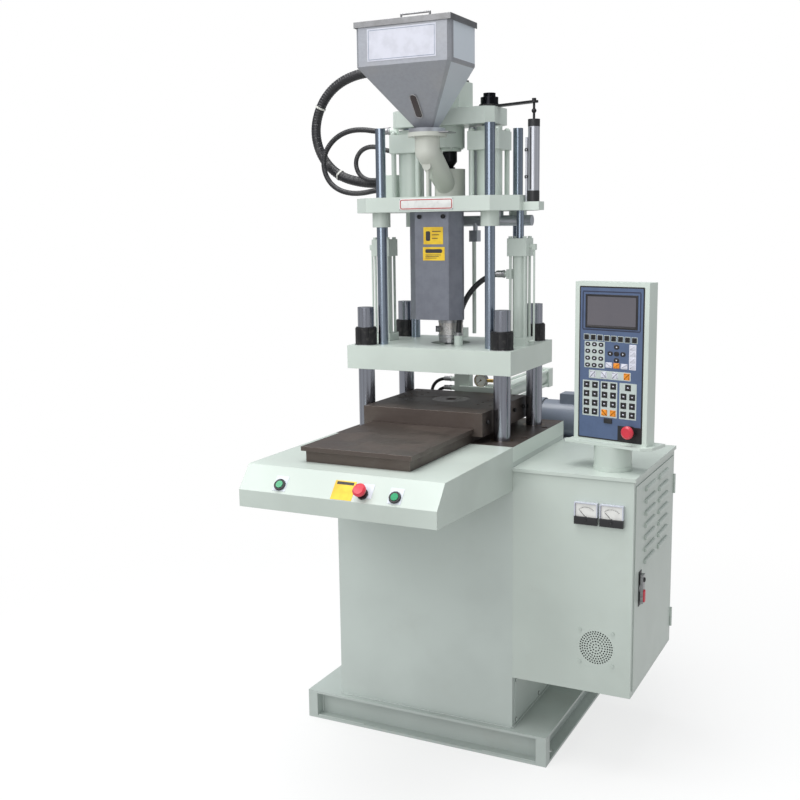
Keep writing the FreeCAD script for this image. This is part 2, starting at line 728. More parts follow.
def seat_cylinders():
    """Both carriage cylinders; the right one also has the hose port on its inner side."""
    x = SEAT_X - SEAT_BARREL_R
    port = centred(22, 24, x - 6, 0, SEAT_HOSE_PORT_Z - 14, SEAT_HOSE_PORT_Z + 14)
    nose = rod(8, SEAT_HOSE_START, x - 17 - SEAT_HOSE_START[0], RIGHT)
    right = joined(seat_cylinder(1), port.cut(rod(SEAT_BARREL_R - 1, (SEAT_X, 0, 1380), 60)), nose)
    foot = ring(13, SEAT_HOSE_R, (*SEAT_HOSE_END[:2], PLATEN_TOP), 30)
    foot = joined(foot, rod(13, (*SEAT_HOSE_END[:2], PLATEN_TOP), 12))
    return [seat_cylinder(-1), right, foot]


SEAT_HOSE_R = 8
SEAT_HOSE_START = (178, 0, SEAT_HOSE_PORT_Z)
SEAT_HOSE_END = (56, -70, PLATEN_TOP + 12)


# ---------------------------------------------------------------- injection carriage

def plate_outline(z):
    """The injection plate's eight-sided outline."""
    w, f, b = PLATE_HALF_WIDTH, PLATE_FRONT, PLATE_BACK
    c, d = PLATE_FRONT_CHAMFER, PLATE_BACK_CHAMFER
    return [(-w + c, f, z), (w - c, f, z), (w, f + c, z), (w, b - d, z),
            (w - d, b, z), (-w + d, b, z), (-w, b - d, z), (-w, f + c, z)]


BRACKET_TOP = TRANSDUCER_BOTTOM


def injection_plate():
    """Carriage plate with guide bosses under it and a side block that carries the transducer."""
    plate = prism(plate_outline(PLATE_BOTTOM), (0, 0, PLATE_THICKNESS))
    bosses = [
        rod(GUIDE_BOSS_R, (x, y, PLATE_BOTTOM - GUIDE_BOSS_DEPTH), GUIDE_BOSS_DEPTH)
        for x, y in four_corners(GUIDE_ROD_X, GUIDE_ROD_Y)
    ]
    side = block(PLATE_HALF_WIDTH, TRANSDUCER_X + 24, TRANSDUCER_Y - 22, TRANSDUCER_Y + 22,
                 PLATE_BOTTOM, BRACKET_TOP)
    plate = joined(plate, side, *bosses)
    outer = GUIDE_ROD_R + RUNNING_FIT + GUIDE_BUSH_WALL
    bores = [
        rod(outer, (x, y, PLATE_BOTTOM - GUIDE_BOSS_DEPTH), GUIDE_BOSS_DEPTH + PLATE_THICKNESS)
        for x, y in four_corners(GUIDE_ROD_X, GUIDE_ROD_Y)
    ]
    bores.append(rod(BARREL_R, (0, 0, PLATE_BOTTOM), PLATE_THICKNESS))
    bores += [rod(SEAT_ROD_R, (s * SEAT_X, 0, PLATE_BOTTOM), 25) for s in (-1, 1)]
    return without(plate, *bores)


GUIDE_BUSH_WALL = 5


def guide_bushes():
    """Bronze bushes that run on the guide rods."""
    inner = GUIDE_ROD_R + RUNNING_FIT
    return [
        ring(inner + GUIDE_BUSH_WALL, inner, (x, y, PLATE_BOTTOM - GUIDE_BOSS_DEPTH),
             GUIDE_BOSS_DEPTH + PLATE_THICKNESS)
        for x, y in four_corners(GUIDE_ROD_X, GUIDE_ROD_Y)
    ]


def seat_rods():
    """Piston rods of the carriage cylinders, fixed in the injection plate."""
    bottom = PLATEN_TOP + SEAT_FOOT + 10
    rods = []
    for side in (-1, 1):
        shaft = rod(SEAT_ROD_R, (side * SEAT_X, 0, bottom), PLATE_BOTTOM + 25 - bottom)
        piston = rod(SEAT_BORE_R - RUNNING_FIT, (side * SEAT_X, 0, bottom), 20)
        rods.append(joined(shaft, piston))
    return rods


NOZZLE_TIP_Z = PLATEN_BOTTOM + 8


def barrel():
    """Heated barrel with its end cap, and the screwed-in nozzle."""
    tube = rod(BARREL_R, (0, 0, BARREL_BOTTOM), BARREL_TOP - BARREL_BOTTOM)
    cap = rod(BARREL_HEAD_R, (0, 0, PLATEN_TOP + 2), BARREL_BOTTOM - PLATEN_TOP - 2)
    shell = joined(tube, cap)
    bore = rod(BARREL_BORE_R, (0, 0, BARREL_BOTTOM + 10), BARREL_TOP - BARREL_BOTTOM - 10)
    throat = rod(10, (0, -BARREL_R - 5, PLATE_TOP + 8), BARREL_R, BACK)
    thread = rod(12, (0, 0, PLATEN_TOP + 2), BARREL_BOTTOM - PLATEN_TOP + 8)
    shell = without(shell, bore, thread, throat)
    neck = rod(12, (0, 0, PLATEN_TOP + 2), BARREL_BOTTOM - PLATEN_TOP + 8)
    body = rod(20, (0, 0, NOZZLE_TIP_Z + 22), PLATEN_TOP + 2 - NOZZLE_TIP_Z - 22)
    tip = cone(9, 20, (0, 0, NOZZLE_TIP_Z), 22)
    channel = rod(3, (0, 0, NOZZLE_TIP_Z), BARREL_BOTTOM + 10 - NOZZLE_TIP_Z)
    nozzle = joined(neck, body, tip).cut(channel)
    return [shell, nozzle]


BAND_STARTS = (BARREL_BOTTOM, 1300, 1390, 1480)


def heater_bands():
    """Four heater bands around the barrel, each with a clamp lug and a terminal box."""
    bands = []
    for z in BAND_STARTS:
        band = ring(BARREL_R + BAND_WALL, BARREL_R, (0, 0, z), BAND_HEIGHT)
        box = centred(26, 22, 0, BARREL_R + BAND_WALL + 9, z + 14, z + 42)
        bands.append(joined(band, box.cut(rod(BARREL_R + 1, (0, 0, z), BAND_HEIGHT))))
    return bands


def barrel_guard():
    """Folded sheet guard in front of the barrel, hung from the plate by two top lugs."""
    half, c, y, s = GUARD_HALF_FRONT, GUARD_CHAMFER, GUARD_FRONT, GUARD_SHEET
    back = y + c + 14
    outer = [(-half - c, back), (-half - c, y + c), (-half, y),
             (half, y), (half + c, y + c), (half + c, back)]
    k = s * (math.sqrt(2) - 1)
    inner = [(half + c - s, back), (half + c - s, y + c + k), (half - k, y + s),
             (-half + k, y + s), (-half - c + s, y + c + k), (-half - c + s, back)]
    outline = [(px, py, GUARD_BOTTOM) for px, py in outer + inner]
    sheet = prism(outline, (0, 0, PLATE_BOTTOM - GUARD_BOTTOM))
    lugs = [block(x - 12, x + 12, y + s, y + s + 40, PLATE_BOTTOM - 6, PLATE_BOTTOM) for x in (-38, 38)]
    drops = [block(x - 12, x + 12, y + s, y + s + 6, PLATE_BOTTOM - 30, PLATE_BOTTOM - 6) for x in (-38, 38)]
    guard = joined(sheet, *lugs, *drops)
    screws = [rod(4.5, (x, y - 3, PLATE_BOTTOM - 14), 3, BACK) for x in (-38, 38)]
    return joined(guard, *screws)


ELBOW_R = 36
ELBOW_DROP = 40
CHUTE_FOOT_R = 30
EYE_R = 13
POST_R = 5


def feed_throat():
    """Feed casting: flange, inclined chute and the body that sits on the barrel's top end."""
    top = FLANGE_BOTTOM
    flange = rod(FLANGE_R, (0, OUTLET_Y, top), FLANGE_THICKNESS)
    elbow = V(0, OUTLET_Y, top - ELBOW_DROP)
    run = V(0, -20, PLATE_TOP + 30) - elbow
    neck = rod(ELBOW_R, elbow, ELBOW_DROP)
    bend = Part.makeSphere(ELBOW_R, elbow)
    leg = cone(ELBOW_R, CHUTE_FOOT_R, elbow, run.Length, run)
    body = rod(FEED_BODY_R, (0, 0, PLATE_TOP), FEED_BODY_TOP - PLATE_TOP)
    passage = rod(24, elbow, FLANGE_THICKNESS + ELBOW_DROP)
    incline = rod(22, elbow, run.Length, run)
    ball = Part.makeSphere(24, elbow)
    eye = rod(EYE_R, (0, OUTLET_Y - 9, elbow.z - ELBOW_R - 5), 18, BACK)
    post = rod(POST_R, (0, OUTLET_Y, PLATE_TOP), elbow.z - ELBOW_R - 5 - PLATE_TOP)
    casting = joined(flange, neck, bend, leg, body, eye)
    bore = rod(BARREL_R, (0, 0, PLATE_TOP), BARREL_TOP - PLATE_TOP)
    screw_way = rod(SCREW_R + SLIDING_GAP, (0, 0, PLATE_TOP), FEED_BODY_TOP - PLATE_TOP)
    gate_slot = gate_slot_shape()
    casting = without(casting, passage, incline, ball, bore, screw_way, gate_slot)
    return joined(casting, post)


GATE_HALF_DEPTH = 28
GATE_LEFT = -32
GATE_RIGHT = 78


def gate_slot_shape():
    """Groove across the flange's top face in which the gate slides."""
    top = FLANGE_BOTTOM + FLANGE_THICKNESS
    gap = SLIDING_GAP
    return block(GATE_LEFT - gap, FLANGE_R + 10, OUTLET_Y - GATE_HALF_DEPTH - gap,
                 OUTLET_Y + GATE_HALF_DEPTH + gap, top - GATE_THICKNESS - 2 * gap, top)


def slide_gate():
    """Sliding shut-off plate with a finger hole, closed at rest."""
    top = FLANGE_BOTTOM + FLANGE_THICKNESS - SLIDING_GAP
    plate = block(GATE_LEFT, GATE_RIGHT, OUTLET_Y - GATE_HALF_DEPTH, OUTLET_Y + GATE_HALF_DEPTH,
                  top - GATE_THICKNESS, top)
    return plate.cut(rod(6, (GATE_RIGHT - 11, OUTLET_Y, top - GATE_THICKNESS), GATE_THICKNESS))


# ---------------------------------------------------------------- hopper

def hopper_ring(half, front, back, corner, z):
    """One level of the hopper: a rectangle with clipped corners."""
    return Part.makePolygon([V(x, y, z) for x, y in [
        (-half + corner, front), (half - corner, front), (half, front + corner), (half, back - corner),
        (half - corner, back), (-half + corner, back), (-half, back - corner), (-half, front + corner),
        (-half + corner, front)]])


def hopper_form(inset):
    """The hopper's outer or inner form: a straight box above an off-centre funnel."""
    half, front, back = HOPPER_HALF_WIDTH - inset, HOPPER_FRONT + inset, HOPPER_BACK - inset
    low_half, low_front = OUTLET_HALF_WIDTH - inset, OUTLET_FRONT + inset
    low_back = HOPPER_BACK - inset
    top = hopper_ring(half, front, back, HOPPER_CORNER, HOPPER_TOP)
    bend = hopper_ring(half, front, back, HOPPER_CORNER, HOPPER_BEND)
    low = hopper_ring(low_half, low_front, low_back, HOPPER_CORNER / 2, HOPPER_BOTTOM)
    box = Part.makeLoft([bend, top], True, True)
    funnel = Part.makeLoft([low, bend], True, True)
    return joined(box, funnel)


HINGE_Y = HOPPER_BACK + 5
HINGE_Z = HOPPER_TOP - 5
HINGE_PIN_R = 2.5
HINGE_XS = (-90, 90)
SLOT_HALF_WIDTH = 6
SLOT_LOW = 1858
SLOT_HIGH = 1915


def hopper():
    """Stainless hopper with a sight slot, a base flange and hinge brackets at the back."""
    shell = hopper_form(0).cut(hopper_form(HOPPER_SHEET))
    flange_z = FLANGE_BOTTOM + FLANGE_THICKNESS
    flange = rod(FLANGE_R - 4, (0, OUTLET_Y, flange_z), HOPPER_BOTTOM - flange_z)
    flange = flange.cut(rod(OUTLET_HALF_WIDTH - 6, (0, OUTLET_Y, flange_z), HOPPER_BOTTOM - flange_z))
    slot = block(-SLOT_HALF_WIDTH, SLOT_HALF_WIDTH, HOPPER_FRONT, OUTLET_Y, SLOT_LOW, SLOT_HIGH)
    brackets = []
    for x in HINGE_XS:
        ear = block(x - 9, x + 9, HOPPER_BACK, HINGE_Y + 3, HINGE_Z - 22, HINGE_Z - 6)
        post = rod(5, (x - 9, HINGE_Y, HINGE_Z), 6, RIGHT)
        other = rod(5, (x + 3, HINGE_Y, HINGE_Z), 6, RIGHT)
        webs = [block(x + a, x + a + 6, HOPPER_BACK, HINGE_Y + 3, HINGE_Z - 6, HINGE_Z) for a in (-9, 3)]
        pin = rod(HINGE_PIN_R, (x - 9, HINGE_Y, HINGE_Z), 18, RIGHT)
        brackets.append(joined(ear, post, other, pin, *webs))
    return joined(shell.cut(slot), flange, *brackets)


HANDLE_HALF = 44
HANDLE_WIRE_R = 3
HANDLE_RISE = 26


def hopper_lid():
    """Folded lid with a wire handle and hinge knuckles at the back."""
    o, s = LID_OVERHANG, HOPPER_SHEET
    half = HOPPER_HALF_WIDTH + o
    front, back = HOPPER_FRONT - o, HOPPER_BACK + 1
    top = HOPPER_TOP + 0.4 + s
    lid = block(-half, half, front, back, top - LID_HEIGHT, top)
    inside = block(-half + s, half - s, front + s, back, top - LID_HEIGHT, top - s)
    lid = lid.cut(inside)
    for x in HINGE_XS:
        knuckle = rod(5, (x - 2.7, HINGE_Y, HINGE_Z), 5.4, RIGHT)
        arm = block(x - 2.7, x + 2.7, HINGE_Y - 4, HINGE_Y + 4, HINGE_Z, top)
        pin_bore = rod(HINGE_PIN_R + RUNNING_FIT, (x - 3, HINGE_Y, HINGE_Z), 6, RIGHT)
        knuckle = joined(knuckle, arm).cut(pin_bore)
        lid = joined(lid, knuckle)
    y = (front + back) / 2
    legs = [rod(HANDLE_WIRE_R, (sx * HANDLE_HALF, y, top), HANDLE_RISE) for sx in (-1, 1)]
    grip = rod(HANDLE_WIRE_R, (-HANDLE_HALF, y, top + HANDLE_RISE), 2 * HANDLE_HALF, RIGHT)
    ends = [Part.makeSphere(HANDLE_WIRE_R, V(sx * HANDLE_HALF, y, top + HANDLE_RISE)) for sx in (-1, 1)]
    return joined(lid, grip, *legs, *ends)


# ---------------------------------------------------------------- injection cylinders, upper crosshead

INJECTION_BORE_R = 32
HOSE_BLOCK = (-222, -180, 0, 82, PLATE_TOP, 1712)


def injection_cylinder(side):
    """An injection cylinder with square head, four tie rods and a gland ring on top."""
    x, half = side * INJECTION_X, INJECTION_HEAD / 2
    head_bottom = INJECTION_HEAD_TOP - INJECTION_HEAD_THICKNESS
    tube = rod(INJECTION_BARREL_R, (x, 0, PLATE_TOP), head_bottom - PLATE_TOP)
    head = centred(INJECTION_HEAD, INJECTION_HEAD, x, 0, head_bottom, INJECTION_HEAD_TOP)
    gland_ring = rod(38, (x, 0, INJECTION_HEAD_TOP), BEAM_BOTTOM - 5 - INJECTION_HEAD_TOP)
    bore = rod(INJECTION_BORE_R, (x, 0, PLATE_TOP + 8), head_bottom - PLATE_TOP - 8)
    way = rod(INJECTION_ROD_R + RUNNING_FIT, (x, 0, head_bottom), BEAM_BOTTOM - head_bottom)
    offset = half - 10
    ties = [
        rod(7.5, (x + a * offset, b * offset, PLATE_TOP), head_bottom - PLATE_TOP)
        for a in (-1, 1)
        for b in (-1, 1)
    ]
    return without(joined(tube, head, gland_ring, *ties), bore, way)


def injection_cylinders():
    """Both cylinders, the port block for the hoses and the elbow on the left head."""
    hoses = block(*HOSE_BLOCK)
    x, y, z = THIN_HOSE_POINTS[0]
    side = -INJECTION_X - INJECTION_HEAD / 2
    port = block(side - 22, side, y - 12, y + 12, INJECTION_HEAD_TOP - 30, INJECTION_HEAD_TOP - 2)
    riser = rod(9, (side - 12, y, INJECTION_HEAD_TOP - 2), z + 10 - INJECTION_HEAD_TOP + 2)
    elbow = joined(port, riser, rod(9, (x, y, z), side - 12 - x, RIGHT))
    x, y, z = LOOP_HOSE_POINTS[-1]
    low_port = rod(7, (x, y, z), side - x, RIGHT)
    return [injection_cylinder(-1), injection_cylinder(1), hoses, elbow, low_port]


def chamfered_beam(z0, z1):
    w, d, c = BEAM_HALF_WIDTH, BEAM_HALF_DEPTH, BEAM_CHAMFER
    outline = [(-w + c, -d, z0), (w - c, -d, z0), (w, -d + c, z0), (w, d - c, z0),
               (w - c, d, z0), (-w + c, d, z0), (-w, d - c, z0), (-w, -d + c, z0)]
    return prism(outline, (0, 0, z1 - z0))


SHAFT_R = 14


def crosshead_beam():
    """Upper crosshead with the thrust-bearing housing under its middle."""
    beam = chamfered_beam(BEAM_BOTTOM, BEAM_TOP)
    housing = rod(BEARING_R, (0, 0, BEARING_BOTTOM), BEAM_BOTTOM - BEARING_BOTTOM)
    collar = rod(34, (0, 0, BEARING_BOTTOM - 10), 10)
    bolts = [
        rod(4, (40 * math.cos(math.radians(a)), 40 * math.sin(math.radians(a)), BEARING_BOTTOM - 5), 5)
        for a in range(0, 360, 60)
    ]
    shaft_way = rod(SHAFT_R + RUNNING_FIT, (0, 0, BEARING_BOTTOM - 10), BEAM_TOP - BEARING_BOTTOM + 10)
    rod_ways = [rod(INJECTION_ROD_R - 4, (s * INJECTION_X, 0, BEAM_BOTTOM), BEAM_THICKNESS) for s in (-1, 1)]
    return without(joined(beam, housing, collar, *bolts), shaft_way, *rod_ways)


def injection_rods():
    """Piston rods of the injection cylinders, clamped in the crosshead by a washer and nut each."""
    pieces = []
    bottom = PLATE_TOP + 12
    for side in (-1, 1):
        x = side * INJECTION_X
        shaft = rod(INJECTION_ROD_R, (x, 0, bottom), BEAM_BOTTOM - bottom)
        piston = rod(INJECTION_BORE_R - RUNNING_FIT, (x, 0, bottom), 20)
        neck = rod(INJECTION_ROD_R - 4, (x, 0, BEAM_BOTTOM), BEAM_THICKNESS + 42)
        pieces.append(joined(shaft, piston, neck))
        washer_z = BEAM_TOP + (ARM_THICKNESS if side > 0 else 0)
        washer = ring(30, INJECTION_ROD_R - 4, (x, 0, washer_z), 4)
        nut = round_top_nut(x, washer_z + 4)
        pieces += [washer, nut]
    return pieces


def round_top_nut(x, z):
    return ring(26, INJECTION_ROD_R - 4, (x, 0, z), 20)


SCREW_TIP_Z = BARREL_BOTTOM + 20
COUPLING_BOTTOM = 1728
MOTOR_SHAFT_TOP = BEAM_TOP + 40


def screw():
    """Plasticising screw with its tip, coupling and the shaft up through the crosshead."""
    tip = cone(2, SCREW_CORE_R, (0, 0, SCREW_TIP_Z), 24)
    core = rod(SCREW_CORE_R, (0, 0, SCREW_TIP_Z + 24), COUPLING_BOTTOM - SCREW_TIP_Z - 24)
    land = rod(SCREW_R, (0, 0, COUPLING_BOTTOM - 60), 60)
    taper = cone(10, 22, (0, 0, COUPLING_BOTTOM), 16)
    coupling = rod(22, (0, 0, COUPLING_BOTTOM + 16), BEARING_BOTTOM - 10.5 - COUPLING_BOTTOM - 16)
    shaft = rod(SHAFT_R, (0, 0, BEARING_BOTTOM - 12), MOTOR_SHAFT_TOP - BEARING_BOTTOM + 12)
    return joined(tip, core, land, taper, coupling, shaft)


MOTOR_BLOCK = 106
MOTOR_BLOCK_TOP = 1975
SCREW_MOTOR_R = 44
SCREW_MOTOR_TOP = 2050


def screw_motor():
    """Hydraulic motor on its square adaptor block, with a port block on the left."""
    adaptor = centred(MOTOR_BLOCK, MOTOR_BLOCK, 0, 0, BEAM_TOP, MOTOR_BLOCK_TOP)
    motor = rod(SCREW_MOTOR_R, (0, 0, MOTOR_BLOCK_TOP), SCREW_MOTOR_TOP - MOTOR_BLOCK_TOP)
    port = block(-72, -20, 10, 74, MOTOR_BLOCK_TOP, SCREW_MOTOR_TOP - 6)
    socket = rod(SHAFT_R + SLIDING_GAP, (0, 0, BEAM_TOP), MOTOR_SHAFT_TOP - BEAM_TOP + 2)
    return joined(adaptor, motor, port).cut(socket)


ARM_WIDTH = 24
TRANSDUCER_ROD_R = 3.5


def transducer_arm():
    """Flat black arm clamped under the right rod nut, and the transducer's pull rod under its end."""
    z = BEAM_TOP
    x0, x1, y1 = INJECTION_X, TRANSDUCER_X, TRANSDUCER_Y
    run = math.hypot(x1 - x0, y1)
    nx, ny = -y1 / run * ARM_WIDTH / 2, (x1 - x0) / run * ARM_WIDTH / 2
    bar = prism([(x0 + nx, ny, z), (x0 - nx, -ny, z), (x1 - nx, y1 - ny, z), (x1 + nx, y1 + ny, z)],
                (0, 0, ARM_THICKNESS))
    eye = rod(30, (x0, 0, z), ARM_THICKNESS)
    tip = rod(ARM_WIDTH / 2, (x1, y1, z), ARM_THICKNESS)
    arm = joined(bar, eye, tip).cut(rod(INJECTION_ROD_R - 4, (x0, 0, z), ARM_THICKNESS))
    low = TRANSDUCER_BOTTOM + 40
    pull = rod(TRANSDUCER_ROD_R, (x1, y1, low), z - low)
    link = Part.makeSphere(7, V(x1, y1, z - 22))
    nut = rod(6, (x1, y1, z + ARM_THICKNESS), 5)
    return joined(arm, pull, link, nut)


def transducer():
    """Aluminium tube with black end caps, standing on the plate's side block and strapped to a strip."""
    x, y = TRANSDUCER_X, TRANSDUCER_Y
    foot = rod(TRANSDUCER_R, (x, y, TRANSDUCER_BOTTOM), 30)
    tube = rod(TRANSDUCER_R - 0.5, (x, y, TRANSDUCER_BOTTOM + 30), TRANSDUCER_TOP - TRANSDUCER_BOTTOM - 50)
    cap = rod(TRANSDUCER_R, (x, y, TRANSDUCER_TOP - 20), 20)
    strip = block(x - TRANSDUCER_R - 5, x - TRANSDUCER_R + 1, y - 9, y + 9, TRANSDUCER_BOTTOM, 1800)
    screws = [rod(5, (x - TRANSDUCER_R - 9, y, z), 4, RIGHT) for z in (1690, 1765)]
    way = rod(TRANSDUCER_ROD_R + SLIDING_GAP, (x, y, TRANSDUCER_BOTTOM + 36), TRANSDUCER_TOP)
    return joined(foot, tube, cap, strip, *screws).cut(way)


MANIFOLD_Y = 62
MANIFOLD_Z = 1568
PALE_PIPE = (60, 44)


def carriage_fittings():
    """Stop post, the manifold tube under the plate and the pale pipe that hangs from it."""
    post = rod(12, (62, 30, PLATE_TOP), BEAM_BOTTOM - 2 - PLATE_TOP)
    tube = rod(16, (-60, MANIFOLD_Y, MANIFOLD_Z), 300, RIGHT)
    hangers = [
        block(x, x + 24, MANIFOLD_Y - 12, MANIFOLD_Y + 12, MANIFOLD_Z, PLATE_BOTTOM) for x in (-44, 120)
    ]
    x, y = PALE_PIPE
    pipe = rod(6, (x, y, 1226), 280)
    connector = centred(26, 30, x, y + 6, 1506, 1540)
    neck = rod(7, (x, y + 10, 1540), MANIFOLD_Z - 1540)
    glands = [
        rod(GLAND_R, (route[0][0], route[0][1], PLATE_BOTTOM - GLAND_LENGTH), GLAND_LENGTH)
        for route in HEATER_CABLES
    ]
    return [post, joined(tube, *hangers, pipe, connector, neck), *glands]


CABLE_BLOCK = (-64, -16, 140, PLATEN_HALF_DEPTH - 4, PLATEN_TOP, PLATEN_TOP + 30)


def cable_block():
    """Clamp block at the platen's back edge, with a gland for each heater cable."""
    top = CABLE_BLOCK[-1]
    glands = [rod(GLAND_R, (route[-1][0], route[-1][1], top), CABLE_END_Z - top) for route in HEATER_CABLES]
    return joined(block(*CABLE_BLOCK), *glands)


# ---------------------------------------------------------------- cabinet and control panel

def cabinet_walls():
    """The outer box of the cabinet under its lid."""
    return (BODY_HALF_WIDTH, CABINET_RIGHT, BODY_FRONT, CABINET_BACK,
            CABINET_BOTTOM, CABINET_TOP - CABINET_LID)


DOOR_OPENING = (-196, 232, 274, 840)
DOOR_LAP = 10
DOOR_HINGE_X = CABINET_RIGHT + 4.5
DOOR_HINGE_Y = DOOR_OPENING[1] + DOOR_LAP + 6
DOOR_HINGE_ZS = (330, 760)
DOOR_SHEET = 2
GRILLE_HOLE_R = 2.2
GRILLE_RINGS = ((10, 8), (18, 15), (26, 22), (33, 28), (40, 34), (46, 39))
GRILLE_SCREW = 47


def grille_holes(y0, y1):
    holes = [rod(GRILLE_HOLE_R, (GRILLE_X, y0, GRILLE_Z), y1 - y0, BACK)]
    for radius, count in GRILLE_RINGS:
        for i in range(count):
            a = 2 * math.pi * i / count
            at = (GRILLE_X + radius * math.cos(a), y0, GRILLE_Z + radius * math.sin(a))
            holes.append(rod(GRILLE_HOLE_R, at, y1 - y0, BACK))
    return holes


def cabinet_shell():
    """Sheet cabinet: box with meter holes, fan perforations, a door frame, lid and door hinges."""
    x0, x1, y0, y1, z0, z1 = cabinet_walls()
    s, over = CABINET_SHEET, CABINET_LID_OVERHANG
    shell = block(x0, x1, y0, y1, z0, z1)
    inside = block(x0 + s, x1 - s, y0 + s, y1 - s, z0 + s, z1)
    a0, a1, b0, b1 = DOOR_OPENING
    door_way = block(x1 - s, x1, a0, a1, b0, b1)
    meter_holes = [rod(26, (x, y0, METER_Z), s, BACK) for x in METER_XS]
    screw_holes = [
        rod(2.1, (GRILLE_X + a * GRILLE_SCREW, y0, GRILLE_Z + b * GRILLE_SCREW), s, BACK)
        for a in (-1, 1)
        for b in (-1, 1)
    ]
    shell = without(shell, inside, door_way, *meter_holes, *screw_holes, *grille_holes(y0, y0 + s))
    lid = block(x0, x1 + over, y0 - over, y1 + over, z1, CABINET_TOP)
    lid = lid.cut(block(x0, x1 + over - s, y0 - over + s, y1 + over - s, z1, CABINET_TOP - s))
    rim = block(x0 + s, x1 - s, y0 + s, y1 - s, z1 - 6, CABINET_TOP - s)
    rim = rim.cut(block(x0 + 12, x1 - 12, y0 + 12, y1 - 12, z1 - 6, CABINET_TOP - s))
    shell = joined(shell, lid, rim)
    hinges = []
    for z in DOOR_HINGE_ZS:
        leaf = block(x1, x1 + 2, DOOR_HINGE_Y, DOOR_HINGE_Y + 9, z - 30, z)
        barrel_low = rod(4, (DOOR_HINGE_X, DOOR_HINGE_Y, z - 30), 30)
        pin = rod(2, (DOOR_HINGE_X, DOOR_HINGE_Y, z - 30), 60)
        hinges.append(joined(leaf, barrel_low, pin))
    shell = joined(shell, *hinges)
    cable_way = rod(20, (SWIVEL_X, SWIVEL_Y, z1 - 10), 30)
    return shell.cut(cable_way)


LOUVRE_YS = ((-108, 4), (50, 162))
LOUVRE_ZS = (606, 641, 676, 711, 746, 781, 816)
LOUVRE_HEIGHT = 7
LATCH_Y = -150
LATCH_Z = 548


def cabinet_door():
    """Sheet door with two columns of louvre slots, folded edges and hinge knuckles."""
    a0, a1, b0, b1 = DOOR_OPENING
    x0, lap = CABINET_RIGHT + SLIDING_GAP, DOOR_LAP
    x1 = x0 + DOOR_SHEET
    panel = block(x0, x1, a0 - lap, a1 + lap, b0 - lap, b1 + lap)
    slots = [block(x0, x1, y0, y1, z, z + LOUVRE_HEIGHT) for y0, y1 in LOUVRE_YS for z in LOUVRE_ZS]
    latch_hole = rod(LATCH_SHAFT_R + RUNNING_FIT, (x0, LATCH_Y, LATCH_Z), DOOR_SHEET, RIGHT)
    panel = without(panel, latch_hole, *slots)
    for z in DOOR_HINGE_ZS:
        knuckle = rod(4, (DOOR_HINGE_X, DOOR_HINGE_Y, z + 0.3), 29.7)
        leaf = block(x0, x1, a1 + lap - 1, DOOR_HINGE_Y, z + 0.3, z + 30)
        panel = joined(panel, leaf, knuckle).cut(rod(2 + RUNNING_FIT, (DOOR_HINGE_X, DOOR_HINGE_Y, z), 32))
    return panel


LATCH_SHAFT_R = 8
LATCH_LENGTH = 84
CAM_REACH = 56


def door_latch():
    """Quarter-turn latch in its open position: lever, collar and the cam that turns behind the frame."""
    x1 = CABINET_RIGHT + SLIDING_GAP + DOOR_SHEET
    shaft = rod(LATCH_SHAFT_R, (CABINET_RIGHT - 12, LATCH_Y, LATCH_Z), 12 + x1 + 4 - CABINET_RIGHT, RIGHT)
    half = LATCH_LENGTH / 2
    lever = block(x1 + 4, x1 + 12, LATCH_Y - 9, LATCH_Y + 9, LATCH_Z - half, LATCH_Z + half)
    collar = rod(12, (x1 + 0.3, LATCH_Y, LATCH_Z), 4, RIGHT)
    cam = block(CABINET_RIGHT - 12, CABINET_RIGHT - 8, LATCH_Y - 9, LATCH_Y + 9,
                LATCH_Z - CAM_REACH, LATCH_Z + 9)
    return joined(shaft, lever, collar, cam)


METER_DEPTH = 12
NEEDLE_LENGTH = 26


def panel_meter(x):
    """A moving-coil meter: square front case with a recessed dial, round body behind."""
    y0 = BODY_FRONT
    case = centred(METER_WIDTH, METER_DEPTH, x, y0 - METER_DEPTH / 2,
                   METER_Z - METER_HEIGHT / 2, METER_Z + METER_HEIGHT / 2)
    well = block(x - METER_WIDTH / 2 + 3, x + METER_WIDTH / 2 - 3, y0 - METER_DEPTH, y0 - METER_DEPTH + 6,
                 METER_Z - 14, METER_Z + METER_HEIGHT / 2 - 3)
    body = rod(25.5, (x, y0, METER_Z), 34, BACK)
    pivot = rod(1.5, (x, y0 - METER_DEPTH + 2.5, METER_Z - 11), 4, BACK)
    return joined(joined(case, body).cut(well), pivot)


def panel_meters():
    return [panel_meter(x) for x in METER_XS]


def meter_needle(x):
    """Thin needle on its pivot inside the meter, at rest at the left end of the scale."""
    y = BODY_FRONT - METER_DEPTH + 3.2
    hub = rod(3, (x, y, METER_Z - 11), 1.6, BACK)
    hub = hub.cut(rod(1.5 + RUNNING_FIT, (x, y, METER_Z - 11), 1.6, BACK))
    bar = block(x - 0.6, x + 0.6, y, y + 0.8, METER_Z - 11 + 2.5, METER_Z - 11 + NEEDLE_LENGTH)
    bar.rotate(V(x, y, METER_Z - 11), V(0, 1, 0), -NEEDLE_REST)
    return joined(hub, bar)


NEEDLE_REST = 44
FAN_DEPTH = 26


